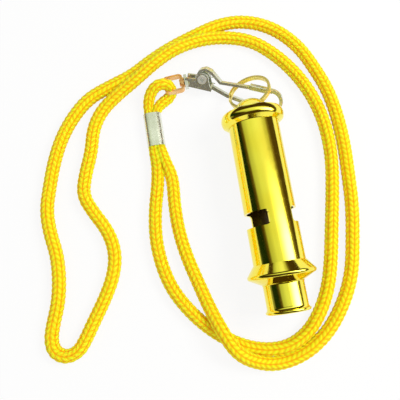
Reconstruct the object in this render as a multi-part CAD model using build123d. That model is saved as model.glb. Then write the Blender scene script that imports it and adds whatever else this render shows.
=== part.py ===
from build123d import *
import os
from math import acos, asin, atan2, cos, degrees, hypot, pi, radians, sin, sqrt, tan

# A tubular twin-chamber whistle with its split ring, its swivel snap hook and its neck cord.
# Millimetres, +Z up. It lies on the plane z = 0 as it was laid down: the whistle's axis is
# along Y, its mouth towards -Y and its cap towards +Y. The origin is in the middle of the
# bottom of the box round the whistle and its ring.

# Barrel, mouthpiece and collar
BARREL_D = 17.0
BARREL_WALL = 0.8
BARREL_SHOWN = 46.4
BARREL_IN_CAP = 2.9
MOUTH_D = 13.3
MOUTH_WALL = 0.9
MOUTH_SHOWN = 9.0
MOUTH_SPIGOT_D = 12.8
LIP_OUT = 0.6
LIP_FLARE = 2.1
LIP_EDGE = 0.8
LIP_FACE_IN = 0.45
COLLAR_D = 22.25
COLLAR_LENGTH = 6.7
COLLAR_SEAT = 3.4
COLLAR_EDGE = 0.15
COLLAR_RIM_UP = 3.1
COLLAR_RIM_R = 0.9
COLLAR_NECK_OUT = 0.65
COLLAR_NECK_UP = 0.55
COLLAR_FOOT = 0.12
BEND_SHARE = 0.3

# Cap, with a rounded band and a hollow dome that the ring passes through
CAP_D = 21.3
CAP_BAND = 4.7
CAP_SKIRT_EDGE = 0.3
CAP_CROWN_LENGTH = 3.2
CAP_CROWN_H = 0.45
CAP_LEDGE_IN = 1.0
CAP_LEDGE_STEP = 0.25
CAP_BAND_MID_SHARE = 0.545
DOME_D = 14.4
DOME_H = 4.85
DOME_TOP_R = 6.9
CAP_WALL = 0.8
RING_HOLE_D = 2.6
RING_HOLE_UP = 3.1

# Windows, windways and chambers
WINDOW_LENGTH = 4.9
WINDOW_FROM_COLLAR = 11.9
WINDOW_HALF_RIB = 3.9
WINDOW_CORNER_R = 1.0
WINDWAY = 1.2
DIVIDER_T = 1.0
STOP_T = 2.0
LONG_STOP_BACK = 1.0
SHORT_STOP_BACK = 12.0
SEAT_GAP = 0.02

# How the whistle lies
MOUTH_Y = -41.0
WHISTLE_ROLL = 15.3
CAP_ROLL = -23.5

# Split ring
RING_MEAN_R = 7.2
RING_WIRE_W = 0.9
RING_WIRE_T = 0.65
RING_TURN_GAP = 0.08
RING_HALF_CHORD = 4.0
RING_DROOP = 31.0
RING_RAMP = 30.0
RING_START = 200.0

# Hook, in a plane of its own: x along the hook, y towards the gate, z out of the plane
HOOK_AT = (-19.85, 43.64, 3.0)
HOOK_YAW = -24.0
HOOK_TILT = 3.0
HOOK_ROLL = 50.0
ARM_T = 1.2
ARM_W = 1.3
ARM_SET = -0.5
ARM_START = (8.9, 0.4)
ARM_KNEE = (15.5, -1.75)
BOW_R = 3.9
BOW_X = 30.9
NOSE_Y = 3.75
NOSE_END_X = 25.6
TONGUE_T = 1.0
TONGUE_W = 1.2
SLEEVE_FROM_X = 22.9
SLEEVE_TO_X = 29.2
SLEEVE_WALL = 0.4
PIVOT_AT = (6.0, 3.3)
CHEEK_R = 2.3
CHEEK_T = 0.7
CHEEK_GAP = 2.8
CHEEK_TOP_Y = 2.6
BASE_T = 1.3
BASE_TOP_Y = 0.8
BASE_END_X = 9.8
RIVET_R = 1.1
RIVET_BORE_R = 0.7
RIVET_HEAD_R = 1.6
RIVET_HEAD_T = 0.35
RUN_GAP = 0.05
SIDE_GAP = 0.05
KNUCKLE_R = 2.2
KNUCKLE_W = 1.1
GATE_T = 0.9
GATE_W = 1.4
PAD_W = 2.2
GATE_BEND_R = 1.0
GATE_TIP_X = 24.9
GATE_TIP_Y = 3.6
GATE_START = (12.6, 2.8)
PAD_POINTS = ((4.1, 4.1), (4.7, 5.8), (6.6, 6.7), (8.5, 6.2))
SPRING_WIRE = 0.25
SPRING_PITCH = 0.75
SPRING_TURNS = 1.5
SPRING_SIDES = 8
SPRING_GAP = 0.1
SPRING_LEG = 4.6

# Swivel between the hook and its eye
SWIVEL_AT = (0.1, 0.3, 0.5)
SWIVEL_YAW = 4.0
SWIVEL_TILT = 2.0
EYE_ROLL = 24.0
EYE_LENGTH = 7.1
EYE_WIDTH = 8.2
EYE_T = 0.9
EYE_STRIP_W = 1.6
EYE_CORNER_R = 1.6
WALL_T = 1.1
WALL_H = 4.0
WALL_W = 4.2
WASHER_R = 1.8
WASHER_T = 0.4
STUD_R = 0.9
STUD_HEAD_R = 1.3
STUD_HEAD_T = 0.5

# Cord, its crimp sleeve and its route, from the sleeve round and back to it
CORD_D = 4.4
EYE_CORD_D = 3.6
CRIMP_AT = (-33.7, 21.7)
CRIMP_LENGTH = 12.0
CRIMP_W = 6.4
CRIMP_H = 4.4
CRIMP_WALL = 0.5
CRIMP_RAISE = 2.25
CORE_OUT = 1.6
ARC_SHARE = 0.45
NECK_ROUTE = [
    (-35.95, 21.7, 2.25), (-35.95, 16.2, 2.25), (-36.1, 8.2, 2.25), (-37.6, -1.2, 2.25),
    (-38.7, -10.6, 2.25), (-37.6, -19.4, 2.25), (-34.6, -27.4, 2.25), (-30.4, -34.9, 2.25),
    (-24.9, -41.8, 2.25), (-17.6, -47.8, 2.25), (-9.5, -51.1, 2.25), (-1.3, -51.3, 2.25),
    (6.0, -48.4, 2.25), (12.0, -42.8, 2.25), (16.2, -35.4, 2.25), (18.9, -26.8, 2.25),
    (21.4, -16.4, 2.25), (24.2, -5.2, 2.25), (26.4, 6.2, 2.25), (27.1, 16.0, 2.25),
    (26.3, 25.0, 2.25), (24.0, 33.8, 2.25), (20.2, 42.2, 2.25), (14.2, 50.2, 2.25),
    (6.2, 56.2, 2.25), (-3.8, 58.9, 2.25), (-13.4, 57.6, 2.25), (-21.8, 54.4, 2.25),
    (-29.3, 50.4, 2.25), (-36.8, 45.6, 2.25), (-44.4, 41.9, 2.25), (-50.8, 37.6, 2.25),
    (-54.9, 31.4, 2.25), (-57.4, 23.6, 2.25), (-60.0, 15.8, 2.25), (-60.8, 8.5, 2.25),
    (-58.4, 1.6, 2.25), (-54.9, -5.2, 2.25), (-53.3, -12.8, 2.25), (-54.8, -20.4, 2.25),
    (-58.3, -27.8, 2.25), (-62.6, -34.2, 2.25), (-66.0, -39.6, 2.25), (-68.8, -43.2, 2.25),
    (-73.1, -44.4, 2.25), (-77.0, -42.3, 2.25), (-78.4, -38.1, 2.25), (-77.4, -33.2, 2.25),
    (-74.9, -26.3, 2.25), (-73.1, -18.8, 2.25), (-72.8, -10.8, 2.25), (-73.9, -2.8, 2.25),
    (-74.2, 5.2, 2.25), (-72.5, 13.2, 2.25), (-70.2, 21.3, 2.25), (-66.8, 29.5, 2.25),
    (-61.9, 36.8, 2.25), (-55.2, 42.8, 2.25), (-47.4, 46.9, 2.25), (-39.2, 50.4, 2.25),
    (-31.6, 55.0, 2.25), (-23.6, 59.1, 2.25), (-14.0, 62.6, 2.25), (-5.2, 64.6, 2.25),
    (3.1, 64.7, 2.25), (11.2, 62.3, 2.25), (18.3, 57.5, 2.25), (24.1, 50.6, 2.25),
    (28.3, 42.2, 2.25), (31.0, 32.8, 2.25), (32.2, 22.6, 2.25), (32.2, 12.0, 2.25),
    (31.3, 1.4, 2.25), (29.9, -9.9, 2.25), (27.5, -21.8, 2.25), (24.3, -32.8, 2.25),
    (19.3, -41.9, 2.25), (12.4, -49.0, 2.25), (4.0, -54.1, 2.25), (-5.4, -56.6, 2.4),
    (-13.2, -55.0, 4.2), (-18.2, -50.9, 7.1), (-21.3, -44.4, 7.1), (-23.4, -36.6, 4.2),
    (-26.0, -28.0, 2.4), (-28.8, -18.4, 2.25), (-30.3, -8.8, 2.25), (-30.2, 0.6, 2.25),
    (-29.8, 9.6, 2.25), (-31.45, 16.2, 2.25), (-31.45, 21.7, 2.25),
]
EYE_ROUTE = [
    (-35.55, 34.0, 2.1), (-35.5, 37.0, 2.2), (-34.4, 41.0, 3.4), (-31.9, 44.7, 5.0),
    (-28.0, 46.6, 5.6), (-24.7, 44.6, 4.4), (-24.3, 40.9, 2.0), (-26.4, 37.5, 1.85),
    (-29.3, 36.2, 1.85), (-31.3, 35.2, 1.95),
]

OVERRUN = 40.0

# Worked-out places along the whistle, counted from its mouth
BARREL_R = BARREL_D / 2
BORE_R = BARREL_R - BARREL_WALL
FIT_R = BORE_R - SEAT_GAP
MOUTH_R = MOUTH_D / 2
COLLAR_R = COLLAR_D / 2
CAP_R = CAP_D / 2
BARREL_FROM = MOUTH_SHOWN + COLLAR_LENGTH - COLLAR_SEAT
COLLAR_TOP = MOUTH_SHOWN + COLLAR_LENGTH
COLLAR_RIM = MOUTH_SHOWN + COLLAR_RIM_UP
CAP_FROM = COLLAR_TOP + BARREL_SHOWN
BARREL_TO = CAP_FROM + BARREL_IN_CAP
LEDGE = CAP_FROM + CAP_BAND
CAP_BAND_MID = CAP_FROM + CAP_BAND * CAP_BAND_MID_SHARE
APEX = LEDGE + DOME_H
RING_HOLE = LEDGE + RING_HOLE_UP
WINDOW_FROM = COLLAR_TOP + WINDOW_FROM_COLLAR
LONG_STOP_TO = BARREL_TO - LONG_STOP_BACK
SHORT_STOP_TO = BARREL_TO - SHORT_STOP_BACK

# The collar and the cap's band both touch the surface below, so the axis leans a little
LEAN = degrees(asin((COLLAR_R - CAP_R) / (CAP_BAND_MID - COLLAR_RIM)))
WHISTLE_PLACE = (
    Pos(0, MOUTH_Y + COLLAR_RIM, COLLAR_R) * Rot(-LEAN, 0, 0) * Pos(0, -COLLAR_RIM, 0)
)
ROLLED = WHISTLE_PLACE * Rot(0, WHISTLE_ROLL, 0)
CAP_PLACE = WHISTLE_PLACE * Rot(0, CAP_ROLL, 0)


def spot(place, x, y, z):
    """Where a point of a placed piece comes to lie."""
    return (place * Pos(x, y, z)).position


def turned(*lines):
    """A solid turned about the whistle's axis from an outline in radius and length."""
    return revolve(make_face(lines), Axis.Y, 360)


def tube(outer, inner, start, end):
    """A round tube along the whistle's axis."""
    points = [(inner, start), (outer, start), (outer, end), (inner, end)]
    return turned(Polyline(*points, close=True))


def slab(low, high):
    """A box from its low corner to its high corner."""
    size = [h - l for l, h in zip(low, high)]
    middle = [(l + h) / 2 for l, h in zip(low, high)]
    return Pos(*middle) * Box(*size)


def bar_along(radius, start, end):
    """A round bar along the whistle's axis."""
    return Pos(0, (start + end) / 2, 0) * Rot(90, 0, 0) * Cylinder(radius, end - start)


def make_barrel():
    """Thin tube with two sawn windows, one on each side."""
    shell = tube(BARREL_R, BORE_R, BARREL_FROM, BARREL_TO)
    depth = BARREL_R + OVERRUN - WINDOW_HALF_RIB
    for side in (1, -1):
        saw = Box(depth, WINDOW_LENGTH, OVERRUN)
        saw = fillet(saw.edges().filter_by(Axis.Z), WINDOW_CORNER_R)
        x = side * (WINDOW_HALF_RIB + depth / 2)
        shell -= Pos(x, WINDOW_FROM + WINDOW_LENGTH / 2, 0) * saw
    return shell


def make_divider():
    """Flat plate that splits the bore into the two chambers."""
    core = bar_along(FIT_R, BARREL_FROM, LONG_STOP_TO)
    half = DIVIDER_T / 2
    return core & slab((-half, 0, -BARREL_R), (half, BARREL_TO, BARREL_R))


def half_plug(side, outer, start, end):
    """Half of a round plug beside the divider, cut flat at a distance from the axis."""
    inner = DIVIDER_T / 2 + SEAT_GAP
    low = (min(side * inner, side * outer), start, -BARREL_R)
    high = (max(side * inner, side * outer), end, BARREL_R)
    return bar_along(FIT_R, start, end) & slab(low, high)


def tangent(point, centre, radius, side):
    """Where a line from a point touches a circle, on one side of it."""
    across, along = point[0] - centre[0], point[1] - centre[1]
    angle = atan2(along, across) + side * acos(radius / hypot(across, along))
    return (centre[0] + radius * cos(angle), centre[1] + radius * sin(angle))


def sagged(start, end):
    """A curve between two points of an outline that bows to one side."""
    across = end[0] + (start[0] - end[0]) * BEND_SHARE
    along = start[1] + (end[1] - start[1]) * BEND_SHARE
    return ThreePointArc(start, (across, along), end)


def make_collar():
    """Flange with a rounded rim that carries the barrel on one side and the mouthpiece on the other."""
    seat_r = BARREL_R + SEAT_GAP
    bore = MOUTH_SPIGOT_D / 2 + SEAT_GAP
    rim = (COLLAR_R - COLLAR_RIM_R, COLLAR_RIM)
    top = (BARREL_R + COLLAR_EDGE, COLLAR_TOP)
    neck = (MOUTH_R + COLLAR_NECK_OUT, MOUTH_SHOWN + COLLAR_NECK_UP)
    foot = (MOUTH_R + COLLAR_FOOT, MOUTH_SHOWN)
    upper = tangent(top, rim, COLLAR_RIM_R, -1)
    lower = tangent(neck, rim, COLLAR_RIM_R, 1)
    return turned(
        Line(top, upper),
        ThreePointArc(upper, (COLLAR_R, COLLAR_RIM), lower),
        Line(lower, neck),
        sagged(neck, foot),
        Polyline(foot, (bore, MOUTH_SHOWN), (bore, BARREL_FROM), (seat_r, BARREL_FROM),
                 (seat_r, COLLAR_TOP), top),
    )


def make_mouthpiece():
    """Short tube with a flared lip at its mouth, on a spigot."""
    bore = MOUTH_R - MOUTH_WALL
    spigot = MOUTH_SPIGOT_D / 2
    lip = (MOUTH_R + LIP_OUT, LIP_EDGE)
    face = (MOUTH_R + LIP_OUT - LIP_FACE_IN, 0)
    flare = (MOUTH_R, LIP_FLARE)
    return turned(
        sagged(lip, flare),
        Polyline(flare, (MOUTH_R, MOUTH_SHOWN), (spigot, MOUTH_SHOWN), (spigot, BARREL_FROM),
                 (bore, BARREL_FROM), (bore, 0), face),
        sagged(face, lip),
    )


def make_cap():
    """Turned cap: a skirt over the barrel, a crowned band and a hollow dome with two holes."""
    skirt = BARREL_R + SEAT_GAP
    edge = (skirt + CAP_SKIRT_EDGE, CAP_FROM)
    low = (CAP_R - CAP_CROWN_H, CAP_BAND_MID - CAP_CROWN_LENGTH / 2)
    high = (CAP_R - CAP_CROWN_H, CAP_BAND_MID + CAP_CROWN_LENGTH / 2)
    ledge_out = (CAP_R - CAP_LEDGE_IN, LEDGE - CAP_LEDGE_STEP)
    foot = (DOME_D / 2, LEDGE)
    middle = (0, APEX - DOME_TOP_R)
    out_top = tangent(foot, middle, DOME_TOP_R, 1)
    lead = atan2(out_top[1] - middle[1], out_top[0])
    half = (cos((lead + pi / 2) / 2), sin((lead + pi / 2) / 2))
    inner_r = DOME_TOP_R - CAP_WALL
    in_top = (inner_r * cos(lead), middle[1] + inner_r * sin(lead))
    neck = DOME_D / 2 - CAP_WALL
    in_foot = in_top[1] - (neck - in_top[0]) / tan(lead)
    shell = turned(
        Line(edge, low),
        ThreePointArc(low, (CAP_R, CAP_BAND_MID), high),
        Polyline(high, ledge_out, foot, out_top),
        ThreePointArc(out_top, (DOME_TOP_R * half[0], middle[1] + DOME_TOP_R * half[1]), (0, APEX)),
        Line((0, APEX), (0, APEX - CAP_WALL)),
        ThreePointArc((0, APEX - CAP_WALL), (inner_r * half[0], middle[1] + inner_r * half[1]), in_top),
        Polyline(in_top, (neck, in_foot), (neck, BARREL_TO + SEAT_GAP),
                 (skirt, BARREL_TO + SEAT_GAP), (skirt, CAP_FROM), edge),
    )
    cross = Pos(0, RING_HOLE, 0) * Rot(0, 90, 0) * Cylinder(RING_HOLE_D / 2, OVERRUN)
    return shell - cross


def ring_frame():
    """The ring's middle and its plane: x along the cap's holes, y away from the cap."""
    at = spot(CAP_PLACE, 0, RING_HOLE, 0)
    along = (spot(CAP_PLACE, DOME_D, RING_HOLE, 0) - at).normalized()
    droop = Vector(0, cos(radians(RING_DROOP)), -sin(radians(RING_DROOP)))
    away = (droop - along * droop.dot(along)).normalized()
    middle = at + away * sqrt(RING_MEAN_R**2 - RING_HALF_CHORD**2)
    return at, along, Plane(origin=middle, x_dir=along, z_dir=along.cross(away))


def make_ring(plane):
    """Split ring: two flat turns of one wire, joined by a short ramp."""
    lift = (RING_WIRE_T + RING_TURN_GAP) / 2
    flat = 360 - RING_RAMP

    def section(angle, height):
        turn = Plane(origin=(0, 0, 0), x_dir=(cos(radians(angle)), sin(radians(angle)), 0),
                     z_dir=(-sin(radians(angle)), cos(radians(angle)), 0))
        return turn * Pos(RING_MEAN_R, -height, 0) * Rectangle(RING_WIRE_W, RING_WIRE_T)

    low = revolve(section(RING_START, -lift), Axis.Z, flat)
    high = revolve(section(RING_START, lift), Axis.Z, flat)
    if abs(low.center().Z - high.center().Z) < lift:
        raise ValueError("the ring's turns lie on each other")
    steps = 4
    ramp = []
    for step in range(steps + 1):
        share = step / steps
        height = lift * (2 * share * share * (3 - 2 * share) - 1)
        ramp.append(section(RING_START + flat + RING_RAMP * share, height))
    return plane * (low + loft(ramp, ruled=True) + high)


def unit(yaw, tilt):
    """Direction at a turn about Z and a rise above the surface."""
    return Vector(cos(radians(yaw)) * cos(radians(tilt)), sin(radians(yaw)) * cos(radians(tilt)),
                  sin(radians(tilt)))


def rolled_plane(origin, yaw, tilt, roll):
    """Plane whose x runs along a direction and whose y is level, then rolled about x."""
    along = unit(yaw, tilt)
    level = Vector(-sin(radians(yaw)), cos(radians(yaw)), 0)
    over = along.cross(level)
    side = level * cos(radians(roll)) + over * sin(radians(roll))
    return Plane(origin=origin, x_dir=along, z_dir=along.cross(side))


def thick(face, low, high):
    """A flat outline made solid between two heights over its plane."""
    return Pos(0, 0, low) * extrude(face, high - low)


def arm_line():
    """Middle line of the hook's lower arm and bow, up to where the nose begins."""
    bow = (BOW_X, NOSE_Y - BOW_R)
    touch = tangent(ARM_KNEE, bow, BOW_R, 1)
    arm = Line(ARM_START, ARM_KNEE) + Line(ARM_KNEE, touch)
    return arm + ThreePointArc(touch, (bow[0] + BOW_R, bow[1]), (BOW_X, NOSE_Y))


def make_hook_body(swivel):
    """Hook: base with two cheeks for the gate, a wall for the swivel, an arm, a bow and a tongue."""
    half = ARM_W / 2
    arm = thick(trace(arm_line(), ARM_T), ARM_SET - half, ARM_SET + half)
    end_x = (SLEEVE_TO_X + BOW_X) / 2
    neck = thick(trace(Line((end_x, NOSE_Y), (BOW_X, NOSE_Y)), ARM_T), ARM_SET - half, TONGUE_W / 2)
    tongue = thick(trace(Line((NOSE_END_X, NOSE_Y), (BOW_X, NOSE_Y)), TONGUE_T),
                   -TONGUE_W / 2, TONGUE_W / 2)
    out = CHEEK_GAP / 2 + CHEEK_T
    base_low = BASE_TOP_Y - BASE_T
    base = slab((0, base_low, -out), (BASE_END_X, BASE_TOP_Y, out))
    outline = Polyline((0, base_low), (BASE_END_X, base_low), (PIVOT_AT[0] + CHEEK_R, PIVOT_AT[1]),
                       (0, CHEEK_TOP_Y), close=True)
    side = make_face(outline) + Pos(*PIVOT_AT) * Circle(CHEEK_R)
    side -= Pos(*PIVOT_AT) * Circle(RIVET_R)
    cheeks = thick(side, CHEEK_GAP / 2, out) + thick(side, -out, -CHEEK_GAP / 2)
    wall = swivel * Box(WALL_T, WALL_H, WALL_W)
    hole = swivel * Rot(0, 90, 0) * Cylinder(STUD_R + RUN_GAP, 2 * WALL_T)
    head_room = swivel * Pos(WALL_T / 2 + OVERRUN / 2, 0, 0) * Rot(0, 90, 0)
    head_room = head_room * Cylinder(STUD_HEAD_R + RUN_GAP, OVERRUN)
    near = slab((-OVERRUN, -OVERRUN, -OVERRUN), (PIVOT_AT[0] - KNUCKLE_R, OVERRUN, OVERRUN))
    block = base + cheeks
    block -= swivel * Pos(-WALL_T / 2 - OVERRUN / 2, 0, 0) * Box(OVERRUN, OVERRUN, OVERRUN)
    block -= head_room & near
    return arm + neck + tongue + (block + wall - hole)


def make_sleeve():
    """Folded sleeve on the hook's nose, open below at its end so that the gate tucks in."""
    high = TONGUE_T / 2 + SLEEVE_WALL
    wide = TONGUE_W / 2 + SLEEVE_WALL
    outer = slab((SLEEVE_FROM_X, NOSE_Y - high, -wide), (SLEEVE_TO_X, NOSE_Y + high, wide))
    outer = chamfer(outer.edges().filter_by(Axis.X), SLEEVE_WALL * ARC_SHARE)
    space = slab((NOSE_END_X, NOSE_Y - TONGUE_T / 2, -TONGUE_W / 2),
                 (SLEEVE_TO_X + OVERRUN, NOSE_Y + TONGUE_T / 2, TONGUE_W / 2))
    hood = GATE_W / 2 + SIDE_GAP
    roof = GATE_TIP_Y + GATE_T / 2 + 2 * SIDE_GAP
    tuck = slab((SLEEVE_FROM_X - OVERRUN, NOSE_Y - OVERRUN, -hood), (NOSE_END_X - SIDE_GAP, roof, hood))
    return outer - space - tuck


def make_gate():
    """Gate lever: a knuckle on the rivet, a raised thumb pad and a straight finger."""
    finger = FilletPolyline(*PAD_POINTS, GATE_START, (GATE_TIP_X, GATE_TIP_Y), radius=GATE_BEND_R)
    strip = trace(finger, GATE_T)
    beyond = Pos(GATE_START[0] + OVERRUN / 2, GATE_START[1]) * Rectangle(OVERRUN, OVERRUN)
    pad = strip - beyond
    ring = Pos(*PIVOT_AT) * Circle(KNUCKLE_R) - Pos(*PIVOT_AT) * Circle(RIVET_R + RUN_GAP)
    pad -= Pos(*PIVOT_AT) * Circle(RIVET_R + RUN_GAP)
    low = -CHEEK_GAP / 2 + SIDE_GAP
    knuckle = thick(ring, low, low + KNUCKLE_W)
    return knuckle + thick(pad, -PAD_W / 2, PAD_W / 2) + thick(strip, -GATE_W / 2, GATE_W / 2)


def rounded_path(route):
    """A line along a route's straight runs, with each corner as round as its runs allow."""
    points = [Vector(*point) for point in route]
    runs = [after - before for before, after in zip(points, points[1:])]
    radii = []
    for before, after in zip(runs, runs[1:]):
        turn = radians(before.get_angle(after))
        radii.append(ARC_SHARE * min(before.length, after.length) / tan(turn / 2))
    return FilletPolyline(*points, radius=radii), radii


def make_rivet():
    """Tubular rivet with a rolled head outside each cheek."""
    half = CHEEK_GAP / 2 + CHEEK_T
    shank = Cylinder(RIVET_R, 2 * half)
    heads = [Pos(0, 0, side * (half + RIVET_HEAD_T / 2)) * Cylinder(RIVET_HEAD_R, RIVET_HEAD_T)
             for side in (1, -1)]
    bore = Cylinder(RIVET_BORE_R, OVERRUN)
    return Pos(*PIVOT_AT) * (shank + heads[0] + heads[1] - bore)


def spring_route():
    """Corners of the torsion spring's line: a leg on the base, its turns, a leg on the gate."""
    radius = RIVET_R + SPRING_GAP + SPRING_WIRE / 2
    reach = radius / cos(pi / SPRING_SIDES)
    low = -CHEEK_GAP / 2 + SIDE_GAP + KNUCKLE_W + 2 * SPRING_GAP + SPRING_WIRE / 2
    corners = round(SPRING_TURNS * SPRING_SIDES)
    route = [(PIVOT_AT[0] + SPRING_LEG, PIVOT_AT[1] - radius, low)]
    for corner in range(corners):
        turns = (corner + 0.5) / SPRING_SIDES
        angle = -pi / 2 - turns * 2 * pi
        route.append((PIVOT_AT[0] + reach * cos(angle), PIVOT_AT[1] + reach * sin(angle),
                      low + SPRING_PITCH * turns))
    route.append((PIVOT_AT[0] + SPRING_LEG, PIVOT_AT[1] + radius, low + SPRING_PITCH * SPRING_TURNS))
    return route


def make_spring():
    """Torsion spring round the rivet beside the knuckle, one leg on the base, one on the gate."""
    path = rounded_path(spring_route())[0]
    steps = 240
    points = [path @ (step / steps) for step in range(steps + 1)]
    half_turn = round(steps * pi * (RIVET_R + SPRING_GAP + SPRING_WIRE / 2) / path.length)
    nearest = min((one - other).length for index, one in enumerate(points)
                  for other in points[index + half_turn:])
    print("gate_spring least gap to itself", round(nearest - SPRING_WIRE, 3))
    return sweep(Plane(origin=path @ 0, z_dir=path % 0) * Circle(SPRING_WIRE / 2), path)


def make_eye():
    """Swivel eye: a bent strip closed round the cord, with a web for the stud."""
    face = Rectangle(EYE_LENGTH, EYE_WIDTH)
    face = fillet(face.vertices(), EYE_CORNER_R)
    inner = Rectangle(EYE_LENGTH - 2 * EYE_T, EYE_WIDTH - 2 * EYE_T)
    face -= fillet(inner.vertices(), EYE_CORNER_R - EYE_T)
    frame = thick(face, -EYE_STRIP_W / 2, EYE_STRIP_W / 2)
    web = slab((EYE_LENGTH / 2 - EYE_T, -STUD_HEAD_R - EYE_T, -STUD_HEAD_R - SIDE_GAP),
               (EYE_LENGTH / 2, STUD_HEAD_R + EYE_T, STUD_HEAD_R + SIDE_GAP))
    hole = Rot(0, 90, 0) * Cylinder(STUD_R, OVERRUN)
    back = WALL_T / 2 + WASHER_T + EYE_LENGTH / 2
    return Pos(-back, 0, 0) * (frame + web - hole)


def across_swivel(radius, start, end):
    """A round slice along the swivel's axis."""
    return Pos((start + end) / 2, 0, 0) * Rot(0, 90, 0) * Cylinder(radius, end - start)


def make_stud():
    """Swivel stud: peened in the eye's web, free to turn in the hook's wall."""
    near = WALL_T / 2 + RUN_GAP
    far = -WALL_T / 2 - WASHER_T - EYE_T
    shank = across_swivel(STUD_R, far - STUD_HEAD_T, near)
    inner = across_swivel(STUD_HEAD_R, near, near + STUD_HEAD_T)
    return shank + inner + across_swivel(STUD_HEAD_R, far - STUD_HEAD_T, far)


def make_washer():
    """Plain washer between the hook's wall and the eye's web."""
    low = -WALL_T / 2 - WASHER_T
    high = -WALL_T / 2 - RUN_GAP
    return across_swivel(WASHER_R, low, high) - across_swivel(STUD_R, low, high)


def crimp_oval(wide, high, start, end):
    """An oval block along the sleeve's axis."""
    oval = Plane.XZ * SlotOverall(wide, high)
    return Pos(CRIMP_AT[0], end, CRIMP_RAISE) * extrude(oval, end - start)


def make_crimp():
    """Oval sleeve pressed round the two strands of the cord."""
    start, end = CRIMP_AT[1], CRIMP_AT[1] + CRIMP_LENGTH
    inner = crimp_oval(CRIMP_W - 2 * CRIMP_WALL, CRIMP_H - 2 * CRIMP_WALL, start, end)
    return crimp_oval(CRIMP_W, CRIMP_H, start, end) - inner


def cord_tube(route, diameter, name):
    """A round tube along a cord's route."""
    path, radii = rounded_path(route)
    solid = sweep(Plane(origin=path @ 0, z_dir=path % 0) * Circle(diameter / 2), path)
    section = pi * diameter**2 / 4
    print(name, "length", round(path.length, 1), "volume share",
          round(solid.volume / (section * path.length), 4))
    print(name, "radii", [round(radius, 1) for radius in radii])
    return solid


def make_eye_cord():
    """The cord's small loop through the swivel eye, with its pressed part inside the sleeve."""
    start, end = CRIMP_AT[1], CRIMP_AT[1] + CRIMP_LENGTH
    core = crimp_oval(CRIMP_W - 2 * CRIMP_WALL, CRIMP_H - 2 * CRIMP_WALL, start, end + CORE_OUT)
    return cord_tube(EYE_ROUTE, EYE_CORD_D, "cord_eye_loop") + core


hook = rolled_plane(HOOK_AT, HOOK_YAW, HOOK_TILT, HOOK_ROLL)
swivel_point = hook.from_local_coords(Vector(*SWIVEL_AT))
swivel = rolled_plane(swivel_point, SWIVEL_YAW, SWIVEL_TILT, 0)
eye = rolled_plane(swivel_point, SWIVEL_YAW, SWIVEL_TILT, -EYE_ROLL)
hole_at, hole_along, ring = ring_frame()
swivel_in_hook = hook.location.inverse() * swivel.location

parts = {
    "barrel": ROLLED * make_barrel(),
    "end_cap": CAP_PLACE * make_cap(),
    "chamber_divider": ROLLED * make_divider(),
    "long_chamber_stop": ROLLED * half_plug(-1, BARREL_R, LONG_STOP_TO - STOP_T, LONG_STOP_TO),
    "short_chamber_stop": ROLLED * half_plug(1, BARREL_R, SHORT_STOP_TO - STOP_T, SHORT_STOP_TO),
    "left_fipple": ROLLED * half_plug(-1, BORE_R - WINDWAY, BARREL_FROM, WINDOW_FROM),
    "right_fipple": ROLLED * half_plug(1, BORE_R - WINDWAY, BARREL_FROM, WINDOW_FROM),
    "mouth_collar": ROLLED * make_collar(),
    "mouthpiece": ROLLED * make_mouthpiece(),
    "split_ring": make_ring(ring),
    "hook_body": hook * make_hook_body(swivel_in_hook),
    "nose_sleeve": hook * make_sleeve(),
    "gate_lever": hook * make_gate(),
    "gate_rivet": hook * make_rivet(),
    "gate_spring": hook * make_spring(),
    "swivel_eye": eye * make_eye(),
    "swivel_stud": swivel * make_stud(),
    "swivel_washer": swivel * make_washer(),
    "crimp_sleeve": make_crimp(),
    "cord_eye_loop": make_eye_cord(),
    "cord_neck_loop": cord_tube(NECK_ROUTE, CORD_D, "cord_neck_loop"),
}

nose = hook.from_local_coords(Vector(BOW_X, NOSE_Y, 0))
pivot = hook.from_local_coords(Vector(*PIVOT_AT, 0))
axes = {
    "hook_swivel": (swivel_point, swivel.x_dir),
    "gate_hinge": (pivot, hook.z_dir),
    "ring_turn": (nose, hook.x_dir),
    "whistle_swing": (hole_at, hole_along),
}
for name, (point, direction) in axes.items():
    print(name, [round(value, 4) for value in point], [round(value, 6) for value in direction])
mouth_at = spot(ROLLED, 0, 0, 0)
mouth_out = (mouth_at - spot(ROLLED, 0, APEX, 0)).normalized()
print("mouth", [round(value, 4) for value in mouth_at], [round(value, 6) for value in mouth_out])

os.makedirs("parts", exist_ok=True)
for name, solid in parts.items():
    export_step(solid, f"parts/{name}.step")
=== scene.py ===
"""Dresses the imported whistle, hook and cord, and sets the floor, light and camera."""

import math

import bpy
import numpy as np
from mathutils import Matrix, Vector


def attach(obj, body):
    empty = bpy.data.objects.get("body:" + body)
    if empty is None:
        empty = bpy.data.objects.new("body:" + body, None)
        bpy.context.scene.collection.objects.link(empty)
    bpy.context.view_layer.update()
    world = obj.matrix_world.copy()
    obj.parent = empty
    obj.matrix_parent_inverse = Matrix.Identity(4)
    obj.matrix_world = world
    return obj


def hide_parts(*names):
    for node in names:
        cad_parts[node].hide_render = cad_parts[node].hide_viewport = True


# Camera, cord and routes are in millimetres, floor, lamp and textures in metres, angles in degrees
MM = 0.001

# Camera, from the outlines of the whistle in the photograph
CAMERA_AT = (-26.37, -29.04, 169.06)
CAMERA_AZIMUTH = -9.09
CAMERA_ELEVATION = 79.87
CAMERA_LENS = 44.1
CAMERA_SENSOR = 36.0
CAMERA_NEAR = 5.0

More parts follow.
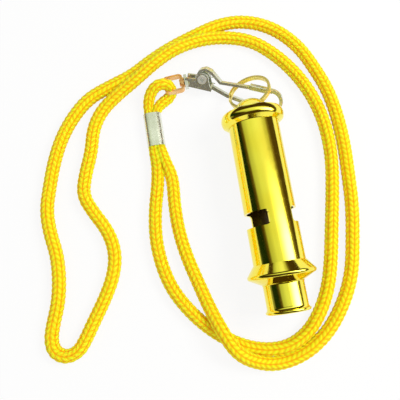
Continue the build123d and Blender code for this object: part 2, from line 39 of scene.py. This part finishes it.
# Colours of the plating, each with the deeper tint of its patches, the swivel's nickel tinted with a
# painted reflection of the yellow cord
GOLD = (0.97, 0.86, 0.10)
GOLD_DEEP = (0.93, 0.76, 0.06)
RIVET = (0.97, 0.98, 0.94)
NICKEL = (0.84, 0.86, 0.76)
NICKEL_DEEP = (0.66, 0.69, 0.57)
# Orange tint of the swivel's nickel: a painted reflection of the yellow cord
SWIVEL_PAINTED_REFLECTION = (0.93, 0.62, 0.30)
SWIVEL_PAINTED_REFLECTION_DEEP = (0.84, 0.46, 0.16)
RING_GOLD = (0.98, 0.82, 0.24)
RING_GOLD_DEEP = (0.88, 0.66, 0.12)

# Plating: the noise levels between which patches of tint and dulled spots grade, how many times
# finer than the patches the spots and the polishing marks are, and the marks' stretch and height
PATCH_LEVELS = (0.30, 0.62)
SPOT_LEVELS = (0.35, 0.8)
SPOT_FINER = 9
MARK_FINER = 14
MARK_STRETCH = (1.0, 0.12, 1.0)
MARK_BUMP = 0.03
BUMP_REACH = 0.0002

# Yarn, tinted by how far the knit stands out, with painted orange shade in the low gaps of the knit, and
# plastic, tinted by its grain
YARN_TINTS_AND_GAP_SHADE = [
    (0.12, (1.0, 0.36, 0.0)),
    (0.45, (1.0, 0.60, 0.0)),
    (0.75, (1.0, 0.80, 0.004)),
    (1.0, (1.0, 0.92, 0.015)),
]
YARN_CLOUD_SCALE = 420.0
YARN_CLOUD_SHARE = 0.30
FIBRE_STRETCH = (1.4, 9.0, 1.0)
FIBRE_SCALE = 3.0
FIBRE_BUMP = 0.35
YARN_SETTINGS = {
    "Subsurface Weight": 0.55,
    "Subsurface Radius": (1.0, 0.35, 0.03),
    "Subsurface Scale": 0.003,
    "Roughness": 0.72,
    "Sheen Weight": 0.25,
    "Sheen Tint": (1.0, 0.85, 0.2, 1.0),
    "Specular IOR Level": 0.3,
}
BLOCK_TINTS = [(0.3, (0.070, 0.036, 0.009)), (0.7, (0.130, 0.072, 0.020))]
BLOCK_GRAIN = 900.0
BLOCK_BUMP = 0.2
BLOCK_BUMP_REACH = 0.0001
BLOCK_ROUGHNESS = 0.5

# Cord: diameters over the knit, its stitches and how finely they are meshed, how the sleeve draws
# the ends in, the lean, low part and rounding of a loop, and how finely a route is followed
CORD_D = 4.8
EYE_CORD_D = 4.2
STITCH_PITCH = 1.85
STITCH_COLUMNS = 8
STITCH_DEPTH = 0.36
RINGS_PER_STITCH = 8
SIDES_PER_COLUMN = 6
PINCH_SHARE = 0.74
PINCH_LENGTH = 9.0
LOOP_LEAN_SHARE = 0.75
LOOP_LOW_SHARE = 0.30
LOOP_ROUNDING = 0.6
ROUTE_STEPS = 16
SMOOTHING_PASSES = 6

NECK_ROUTE = [
    (-34.7, 25.0, 2.3), (-34.8, 20.6, 2.3), (-34.2, 15.6, 2.25), (-35.2, 8.2, 2.25),
    (-37.6, -1.2, 2.25), (-38.7, -10.6, 2.25), (-38.0, -19.5, 2.25), (-35.8, -27.9, 2.25),
    (-31.4, -35.6, 2.25), (-25.6, -42.6, 2.25), (-18.0, -48.6, 2.25), (-9.7, -52.2, 2.25),
    (-1.0, -52.8, 2.25), (6.5, -49.3, 2.25), (12.1, -43.0, 2.25), (16.2, -35.4, 2.25),
    (18.9, -26.8, 2.25), (21.3, -16.3, 2.25), (23.9, -5.2, 2.25), (26.2, 6.2, 2.25),
    (26.8, 16.0, 2.25), (25.9, 25.0, 2.25), (23.5, 33.6, 2.25), (19.5, 41.8, 2.25), (13.7, 49.6, 2.25),
    (6.2, 56.2, 2.25), (-3.8, 59.2, 2.25), (-13.7, 58.7, 3.55), (-22.5, 55.9, 4.85),
    (-30.1, 51.8, 4.85), (-37.4, 46.8, 4.45), (-44.8, 42.6, 3.25), (-51.2, 38.0, 2.25),
    (-55.1, 31.5, 2.25), (-56.7, 23.3, 2.25), (-59.7, 15.7, 2.25), (-61.5, 8.4, 2.25),
    (-58.4, 1.6, 2.25), (-54.5, -5.1, 2.25), (-52.8, -12.8, 2.25), (-54.4, -20.5, 2.25),
    (-58.3, -27.8, 2.25), (-62.6, -34.2, 2.25), (-66.0, -39.6, 2.25), (-68.8, -43.2, 2.25),
    (-73.1, -44.4, 2.25), (-76.7, -42.1, 2.25), (-77.4, -38.1, 2.25), (-76.3, -33.5, 2.25),
    (-73.8, -26.6, 2.25), (-72.6, -18.9, 2.25), (-72.5, -10.8, 2.25), (-74.1, -2.8, 2.25),
    (-74.5, 5.2, 2.25), (-72.5, 13.2, 2.25), (-70.2, 21.3, 2.25), (-66.8, 29.5, 2.25),
    (-61.9, 36.8, 2.25), (-55.4, 43.2, 2.25), (-47.2, 46.5, 2.25), (-38.7, 49.4, 2.25),
    (-31.2, 54.1, 2.25), (-23.2, 58.0, 2.25), (-13.7, 61.4, 2.25), (-5.2, 64.1, 2.25),
    (3.1, 64.4, 2.25), (11.1, 62.0, 2.25), (18.0, 57.1, 2.25), (23.5, 50.1, 2.25), (27.1, 41.7, 2.25),
    (30.2, 32.6, 2.25), (31.5, 22.6, 2.25), (31.7, 12.0, 2.25), (30.9, 1.4, 2.25), (29.9, -9.9, 2.25),
    (27.5, -21.8, 2.25), (24.7, -33.0, 2.25), (19.7, -42.2, 2.25), (13.2, -50.0, 2.25),
    (4.5, -55.6, 2.25), (-5.4, -57.5, 2.4), (-13.2, -55.0, 4.2), (-18.2, -50.9, 7.1),
    (-21.3, -44.4, 7.1), (-24.1, -36.8, 4.2), (-26.5, -28.1, 2.4), (-29.1, -18.5, 2.25),
    (-30.6, -8.8, 2.25), (-30.6, 0.6, 2.25), (-29.8, 9.6, 2.25), (-31.7, 15.8, 2.25),
    (-32.5, 20.6, 2.3), (-32.7, 25.0, 2.3),
]
EYE_ROUTE = [
    (-34.6, 30.5, 2.3), (-34.8, 34.2, 2.4), (-34.4, 37.4, 3.0), (-33.2, 40.4, 4.4), (-30.9, 42.5, 5.9),
    (-27.9, 42.9, 6.3), (-25.7, 42.0, 4.9), (-25.5, 40.4, 2.9), (-27.0, 38.7, 2.1), (-29.4, 37.5, 2.1),
    (-31.2, 35.9, 2.2), (-32.5, 33.8, 2.3), (-33.2, 30.5, 2.3),
]

# Floor, room and lamp. The room's mirror image goes by lean, the angle from straight up with left
# negative, and by depth, the angle towards the cap with the mouth's side negative. Shade at the
# front and behind and the bright streak each list where a fade starts and where it is full. The
# skew adds a lean that grows with depth.
WHITE = (1.0, 1.0, 1.0, 1.0)
FLOOR_SIZE = 4.0
FLOOR_BELOW = 0.00015
FLOOR_COLOUR = (0.92, 0.92, 0.91, 1.0)
FLOOR_LIFT_SHARE = 0.88
FLOOR_ROUGHNESS = 0.9
ROOM_LIGHT = 0.62
ROOM_SHADE = (0.055, 0.030, 0.008, 1.0)
ROOM_STREAK = (9.0, 9.0, 9.0, 1.0)
FRONT_DEPTHS = [(-7, -15), (-84, -70)]
BEHIND_DEPTHS = [(22, 30), (74, 62)]
STREAK_LEANS = [(-8, 38), (58, 42)]
STREAK_DEPTHS = [(16, -1), (-20, -11)]
SKEW_DEPTHS = (-4, 22)
SKEW_LEANS = (-22, 15)
ROOM_SIDES = [
    (-180, (0.80, 0.80, 0.78)), (-105, (0.30, 0.31, 0.25)), (-94, (0.010, 0.026, 0.009)),
    (-70, (0.008, 0.020, 0.007)), (-57, (0.09, 0.055, 0.016)), (-46, (0.52, 0.58, 0.38)),
    (-18, (0.80, 0.88, 0.62)), (14, (0.96, 1.02, 0.84)), (30, (0.96, 0.98, 0.80)),
    (50, (0.60, 0.60, 0.36)), (62, (0.21, 0.16, 0.07)), (70, (0.08, 0.05, 0.02)),
    (92, (0.08, 0.05, 0.02)), (120, (0.6, 0.6, 0.55)),
]
KEY_AT = (0.33, 0.02, 0.40)
KEY_AIM = (0.0, 0.0, 0.0)
KEY_SIZE = 0.22
KEY_POWER = 1.65
KEY_COLOUR = (1.0, 0.98, 0.95)

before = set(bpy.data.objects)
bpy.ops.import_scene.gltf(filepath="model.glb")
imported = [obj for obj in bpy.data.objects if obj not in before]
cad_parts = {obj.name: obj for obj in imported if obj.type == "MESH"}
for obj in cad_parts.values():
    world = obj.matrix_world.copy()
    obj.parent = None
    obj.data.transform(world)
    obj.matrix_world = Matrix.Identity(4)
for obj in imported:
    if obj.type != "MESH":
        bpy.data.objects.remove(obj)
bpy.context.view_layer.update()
scene = bpy.context.scene


def metres(point):
    """A point in millimetres as a vector in metres."""
    return Vector(point) * MM


def add_node(tree, kind, inputs, settings):
    """A node with its settings, whose inputs are set to values or linked to other nodes' outputs."""
    node = tree.nodes.new(kind)
    for key, value in settings.items():
        setattr(node, key, value)
    for key, value in (inputs or {}).items():
        if isinstance(value, bpy.types.NodeSocket):
            tree.links.new(value, node.inputs[key])
        else:
            node.inputs[key].default_value = value
    return node


def shader(name):
    """A new material, its Principled shader, and helpers that add a node and link it to the shader."""
    material = bpy.data.materials.new(name)
    material.use_nodes = True
    tree = material.node_tree
    principled = tree.nodes["Principled BSDF"]

    def add(kind, inputs=None, **settings):
        return add_node(tree, kind, inputs, settings)

    def link(source, key):
        tree.links.new(source, principled.inputs[key])

    return material, principled, add, link


def ramp(add, factor, stops, fade="LINEAR"):
    """A colour ramp from a list of places and colours."""
    node = add("ShaderNodeValToRGB", {"Fac": factor})
    node.color_ramp.interpolation = fade
    elements = node.color_ramp.elements
    while len(elements) < len(stops):
        elements.new(1.0)
    for element, (place, colour) in zip(elements, stops):
        element.position = place
        element.color = (*colour, 1.0)
    return node.outputs["Color"]


def plated(name, colour, deep, rough, wear, scale, metal=1.0):
    """Polished plating: a tint that deepens in patches, faint polishing marks and dulled spots."""
    material, principled, add, link = shader(name)
    place = add("ShaderNodeTexCoord").outputs["Object"]
    cloud = add("ShaderNodeTexNoise", {"Vector": place, "Scale": scale, "Detail": 3.0})
    tint = ramp(add, cloud.outputs["Fac"], list(zip(PATCH_LEVELS, (deep, colour))))
    link(tint, "Base Color")
    fine = add("ShaderNodeTexNoise", {"Vector": place, "Scale": scale * SPOT_FINER, "Detail": 4.0})
    low, high = SPOT_LEVELS
    dull = add("ShaderNodeMapRange", {
        "Value": fine.outputs["Fac"], "From Min": low, "From Max": high,
        "To Min": rough, "To Max": rough + wear,
    })
    link(dull.outputs["Result"], "Roughness")
    long = add("ShaderNodeMapping", {"Vector": place, "Scale": MARK_STRETCH})
    marks = add("ShaderNodeTexNoise", {
        "Vector": long.outputs["Vector"], "Scale": scale * MARK_FINER, "Detail": 2.0,
    })
    bump = add("ShaderNodeBump", {
        "Height": marks.outputs["Fac"], "Strength": MARK_BUMP, "Distance": BUMP_REACH,
    })
    link(bump.outputs["Normal"], "Normal")
    principled.inputs["Metallic"].default_value = metal
    return material


def knitted():
    """Knitted yarn: yellow on the loops, with painted orange shade in the gaps, and fibres along each
    loop.
    """
    material, principled, add, link = shader("knitted_yarn")
    height = add("ShaderNodeAttribute", attribute_name="stitch").outputs["Fac"]
    place = add("ShaderNodeTexCoord").outputs["Object"]
    cloud = add("ShaderNodeTexNoise", {"Vector": place, "Scale": YARN_CLOUD_SCALE, "Detail": 3.0})
    mixed = add("ShaderNodeMath", {0: cloud.outputs["Fac"], 1: YARN_CLOUD_SHARE}, operation="MULTIPLY")
    lifted = add("ShaderNodeMath", {0: height, 1: mixed.outputs[0]}, operation="ADD")
    # The ramp paints orange shade into the low gaps between the knit's loops
    link(ramp(add, lifted.outputs[0], YARN_TINTS_AND_GAP_SHADE), "Base Color")
    run = add("ShaderNodeUVMap", uv_map="run").outputs["UV"]
    stretch = add("ShaderNodeMapping", {"Vector": run, "Scale": FIBRE_STRETCH})
    fibres = add("ShaderNodeTexNoise", {
        "Vector": stretch.outputs["Vector"], "Scale": FIBRE_SCALE, "Detail": 4.0,
    })
    bump = add("ShaderNodeBump", {
        "Height": fibres.outputs["Fac"], "Strength": FIBRE_BUMP, "Distance": BUMP_REACH,
    })
    link(bump.outputs["Normal"], "Normal")
    for key, value in YARN_SETTINGS.items():
        principled.inputs[key].default_value = value
    return material


def moulded():
    """Dark moulded plastic inside the whistle, with a fine grain."""
    material, principled, add, link = shader("moulded_block")
    place = add("ShaderNodeTexCoord").outputs["Object"]
    grain = add("ShaderNodeTexNoise", {"Vector": place, "Scale": BLOCK_GRAIN, "Detail": 3.0})
    link(ramp(add, grain.outputs["Fac"], BLOCK_TINTS), "Base Color")
    bump = add("ShaderNodeBump", {
        "Height": grain.outputs["Fac"], "Strength": BLOCK_BUMP, "Distance": BLOCK_BUMP_REACH,
    })
    link(bump.outputs["Normal"], "Normal")
    principled.inputs["Roughness"].default_value = BLOCK_ROUGHNESS
    return material


# Each finish with its nodes. Plating takes roughness, wear, scale of its patches and metal share.
finishes = [
    (plated("gold_plate", GOLD, GOLD_DEEP, 0.07, 0.07, 60.0),
     ["barrel", "end_cap", "mouth_collar", "mouthpiece"]),
    (plated("ring_plate", RING_GOLD, RING_GOLD_DEEP, 0.20, 0.12, 120.0, 0.7), ["split_ring"]),
    (plated("hook_plate", NICKEL, NICKEL_DEEP, 0.20, 0.12, 110.0, 0.74),
     ["hook_body", "nose_sleeve", "gate_lever", "gate_spring"]),
    (plated("rivet_plate", RIVET, NICKEL, 0.22, 0.10, 110.0, 0.45), ["gate_rivet"]),
    # The swivel's nickel is painted orange as a reflection of the yellow cord
    (plated("swivel_plate_painted_reflection", SWIVEL_PAINTED_REFLECTION, SWIVEL_PAINTED_REFLECTION_DEEP, 0.24, 0.14, 110.0, 0.7),
     ["swivel_eye", "swivel_stud", "swivel_washer"]),
    (plated("crimp_plate", NICKEL, NICKEL_DEEP, 0.20, 0.12, 140.0, 0.85), ["crimp_sleeve"]),
    (moulded(),
     ["chamber_divider", "left_fipple", "right_fipple", "long_chamber_stop", "short_chamber_stop"]),
]
for material, members in finishes:
    for member in members:
        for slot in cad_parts[member].material_slots:
            slot.material = material


def route_points(name, route):
    """Points along the smooth spline that a route's points steer."""
    curve = bpy.data.curves.new(name + "_line", "CURVE")
    curve.dimensions = "3D"
    curve.resolution_u = ROUTE_STEPS
    spline = curve.splines.new("NURBS")
    spline.points.add(len(route) - 1)
    for point, place in zip(spline.points, route):
        point.co = (*metres(place), 1.0)
    spline.order_u = 3
    spline.use_endpoint_u = True
    line = bpy.data.objects.new(name + "_line", curve)
    mesh = bpy.data.meshes.new_from_object(line)
    points = np.array([vertex.co[:] for vertex in mesh.vertices])
    bpy.data.meshes.remove(mesh)
    bpy.data.objects.remove(line)
    bpy.data.curves.remove(curve)
    return points


def knit_height(turn, along):
    """How far the knit stands out, 0 to 1: slanted loops in columns that lean alternate ways."""
    column = turn / (2 * math.pi) * STITCH_COLUMNS
    index = np.floor(column)
    across = column - index - 0.5
    lean = np.where(index % 2 == 0, 1.0, -1.0)
    phase = along / (STITCH_PITCH * MM) + lean * across * LOOP_LEAN_SHARE
    loop = 0.5 + 0.5 * np.cos(2 * math.pi * phase)
    crown = np.sqrt(np.clip(np.cos(math.pi * across), 0.0, 1.0))
    return crown * (LOOP_LOW_SHARE + (1.0 - LOOP_LOW_SHARE) * loop**LOOP_ROUNDING)


def knit_cord(name, route, diameter):
    """A knitted tube along a route, drawn in at both ends where the sleeve presses it."""
    points = route_points(name, route)
    steps = np.linalg.norm(np.diff(points, axis=0), axis=1)
    reach = np.concatenate([[0.0], np.cumsum(steps)])
    length = reach[-1]
    rings = int(round(length / (STITCH_PITCH * MM / RINGS_PER_STITCH)))
    along = np.linspace(0.0, length, rings)
    centre = np.stack([np.interp(along, reach, points[:, axis]) for axis in range(3)], axis=1)
    smooth = centre.copy()
    for _ in range(SMOOTHING_PASSES):
        smooth[1:-1] = (smooth[:-2] + smooth[1:-1] * 2 + smooth[2:]) / 4
    tangent = np.gradient(smooth, axis=0)
    tangent /= np.linalg.norm(tangent, axis=1)[:, None]
    up = np.array([0.0, 0.0, 1.0]) - tangent * tangent[:, 2:3]
    up /= np.linalg.norm(up, axis=1)[:, None]
    side = np.cross(tangent, up)
    sides = STITCH_COLUMNS * SIDES_PER_COLUMN
    turn = np.arange(sides) / sides * 2 * math.pi
    height = knit_height(turn[None, :], along[:, None])
    from_end = np.minimum(along, length - along) / (PINCH_LENGTH * MM)
    ease = np.clip(from_end, 0.0, 1.0)
    draw = PINCH_SHARE + (1.0 - PINCH_SHARE) * ease * ease * (3 - 2 * ease)
    radius = (diameter / 2 * MM - STITCH_DEPTH * MM * (1.0 - height)) * draw[:, None]
    ring = np.cos(turn)[None, :, None] * up[:, None, :] + np.sin(turn)[None, :, None] * side[:, None, :]
    vertices = (centre[:, None, :] + radius[:, :, None] * ring).reshape(-1, 3)
    row = np.arange(rings - 1)[:, None] * sides
    near = np.arange(sides)[None, :]
    far = (near + 1) % sides
    corners = [row + near, row + near + sides, row + far + sides, row + far]
    faces = np.stack(corners, axis=2).reshape(-1, 4)
    caps = [list(range(sides)), list(range(rings * sides - 1, (rings - 1) * sides - 1, -1))]
    mesh = bpy.data.meshes.new(name)
    mesh.from_pydata(vertices.tolist(), [], faces.tolist() + caps)
    mesh.polygons.foreach_set("use_smooth", [True] * len(mesh.polygons))
    stitch = mesh.attributes.new("stitch", "FLOAT", "POINT")
    stitch.data.foreach_set("value", height.reshape(-1).astype(np.float32))
    layer = mesh.uv_layers.new(name="run")
    corner = np.zeros(len(mesh.loops), np.int32)
    mesh.loops.foreach_get("vertex_index", corner)
    u = along[corner // sides] / (STITCH_PITCH * MM)
    v = (corner % sides) / SIDES_PER_COLUMN
    layer.data.foreach_set("uv", np.stack([u, v], axis=1).reshape(-1).astype(np.float32))
    mesh.update()
    cord = bpy.data.objects.new(name, mesh)
    scene.collection.objects.link(cord)
    return cord, points, length


yarn = knitted()
neck, neck_path, neck_length = knit_cord("neck_cord", NECK_ROUTE, CORD_D)
eye, eye_path, eye_length = knit_cord("eye_cord", EYE_ROUTE, EYE_CORD_D)
for cord, path, length, diameter, node in (
    (neck, neck_path, neck_length, CORD_D, "cord_neck_loop"),
    (eye, eye_path, eye_length, EYE_CORD_D, "cord_eye_loop"),
):
    cord.data.materials.append(yarn)
    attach(cord, "lanyard")
    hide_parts(node)


def lay_floor():
    """A white surface under the object: plainly lit, and lifted to white where it is only looked at."""
    mesh = bpy.data.meshes.new("floor")
    half = FLOOR_SIZE / 2
    corners = [(-half, -half, 0), (half, -half, 0), (half, half, 0), (-half, half, 0)]
    mesh.from_pydata(corners, [], [(0, 1, 2, 3)])
    plane = bpy.data.objects.new("floor", mesh)
    plane.location = (0.0, 0.0, -FLOOR_BELOW)
    scene.collection.objects.link(plane)
    material, principled, add, _ = shader("floor")
    tree = material.node_tree
    principled.inputs["Base Color"].default_value = FLOOR_COLOUR
    principled.inputs["Roughness"].default_value = FLOOR_ROUGHNESS
    principled.inputs["Specular IOR Level"].default_value = 0.0
    glow = add("ShaderNodeEmission", {"Color": WHITE, "Strength": 1.0})
    share = add("ShaderNodeMath", {0: looked_at(add), 1: FLOOR_LIFT_SHARE}, operation="MULTIPLY")
    mix = add("ShaderNodeMixShader", {0: share.outputs[0], 1: principled.outputs[0], 2: glow.outputs[0]})
    tree.links.new(mix.outputs[0], tree.nodes["Material Output"].inputs["Surface"])
    mesh.materials.append(material)


def looked_at(add):
    """1 for rays that come from the camera, or from it by a mirror or through glass, else 0."""
    rays = add("ShaderNodeLightPath").outputs
    seen = rays["Is Camera Ray"]
    for kind in ("Is Glossy Ray", "Is Transmission Ray"):
        seen = add("ShaderNodeMath", {0: seen, 1: rays[kind]}, operation="MAXIMUM").outputs[0]
    return seen


def light_room():
    """An even white room, whose image in metal has soft dark sides and one bright strip."""
    world = bpy.data.worlds.new("studio")
    world.use_nodes = True
    scene.world = world
    tree = world.node_tree

    def add(kind, inputs=None, **settings):
        return add_node(tree, kind, inputs, settings)

    def math_node(operation, one, other=0.0):
        return add("ShaderNodeMath", {0: one, 1: other}, operation=operation).outputs[0]

    def window(value, pairs):
        """1 inside two smooth fades of an angle and 0 outside them."""
        fades = []
        for start, full in pairs:
            fade = add("ShaderNodeMapRange", {
                "Value": value, "From Min": math.radians(start), "From Max": math.radians(full),
            }, interpolation_type="SMOOTHERSTEP")
            fades.append(fade.outputs["Result"])
        return math_node("MULTIPLY", *fades)

    place = add("ShaderNodeTexCoord").outputs["Generated"]
    way = add("ShaderNodeSeparateXYZ", {"Vector": place}).outputs
    depth = math_node("ARCSINE", way["Y"])
    skew = add("ShaderNodeMapRange", {
        "Value": depth,
        "From Min": math.radians(SKEW_DEPTHS[0]), "From Max": math.radians(SKEW_DEPTHS[1]),
        "To Min": math.radians(SKEW_LEANS[0]), "To Max": math.radians(SKEW_LEANS[1]),
    })
    lean = math_node("ADD", math_node("ARCTAN2", way["X"], way["Z"]), skew.outputs["Result"])
    turn = add("ShaderNodeMapRange", {"Value": lean, "From Min": -math.pi, "From Max": math.pi})
    stops = [((angle + 180) / 360, colour) for angle, colour in ROOM_SIDES]
    image = ramp(add, turn.outputs["Result"], stops, "EASE")
    ends = math_node("MAXIMUM", window(depth, FRONT_DEPTHS), window(depth, BEHIND_DEPTHS))
    streak = math_node("MULTIPLY", window(lean, STREAK_LEANS), window(depth, STREAK_DEPTHS))
    for share, colour in ((ends, ROOM_SHADE), (streak, ROOM_STREAK)):
        mix = add("ShaderNodeMix", {"Factor": share, "A": image, "B": colour}, data_type="RGBA")
        image = mix.outputs["Result"]
    rays = add("ShaderNodeLightPath").outputs
    plain = add("ShaderNodeBackground", {"Color": WHITE, "Strength": ROOM_LIGHT})
    mirrored = add("ShaderNodeBackground", {"Color": image, "Strength": 1.0})
    seen = add("ShaderNodeBackground", {"Color": WHITE, "Strength": 1.0})
    lit = add("ShaderNodeMixShader", {
        0: rays["Is Glossy Ray"], 1: plain.outputs[0], 2: mirrored.outputs[0],
    })
    straight = math_node("MAXIMUM", rays["Is Camera Ray"], rays["Is Transmission Ray"])
    whole = add("ShaderNodeMixShader", {0: straight, 1: lit.outputs[0], 2: seen.outputs[0]})
    tree.links.new(whole.outputs[0], tree.nodes["World Output"].inputs["Surface"])


def lamp(name, at, aim, size, power, colour):
    """A soft square area light aimed at a point."""
    data = bpy.data.lights.new(name, "AREA")
    data.shape = "SQUARE"
    data.size = size
    data.energy = power
    data.color = colour
    light = bpy.data.objects.new(name, data)
    light.location = at
    light.rotation_euler = (Vector(at) - Vector(aim)).to_track_quat("Z", "Y").to_euler()
    light.visible_glossy = False
    scene.collection.objects.link(light)


lay_floor()
light_room()
lamp("key", KEY_AT, KEY_AIM, KEY_SIZE, KEY_POWER, KEY_COLOUR)

camera_data = bpy.data.cameras.new("camera")
camera_data.lens = CAMERA_LENS
camera_data.sensor_width = CAMERA_SENSOR
camera_data.clip_start = CAMERA_NEAR * MM
camera = bpy.data.objects.new("camera", camera_data)
azimuth = math.radians(CAMERA_AZIMUTH)
elevation = math.radians(CAMERA_ELEVATION)
back = Vector((
    math.sin(azimuth) * math.cos(elevation),
    -math.cos(azimuth) * math.cos(elevation),
    math.sin(elevation),
))
right = Vector((math.cos(azimuth), math.sin(azimuth), 0.0))
axes = Matrix((right, back.cross(right), back)).transposed()
camera.matrix_world = Matrix.Translation(metres(CAMERA_AT)) @ axes.to_4x4()
scene.collection.objects.link(camera)
scene.camera = camera
scene.view_settings.view_transform = "Standard"
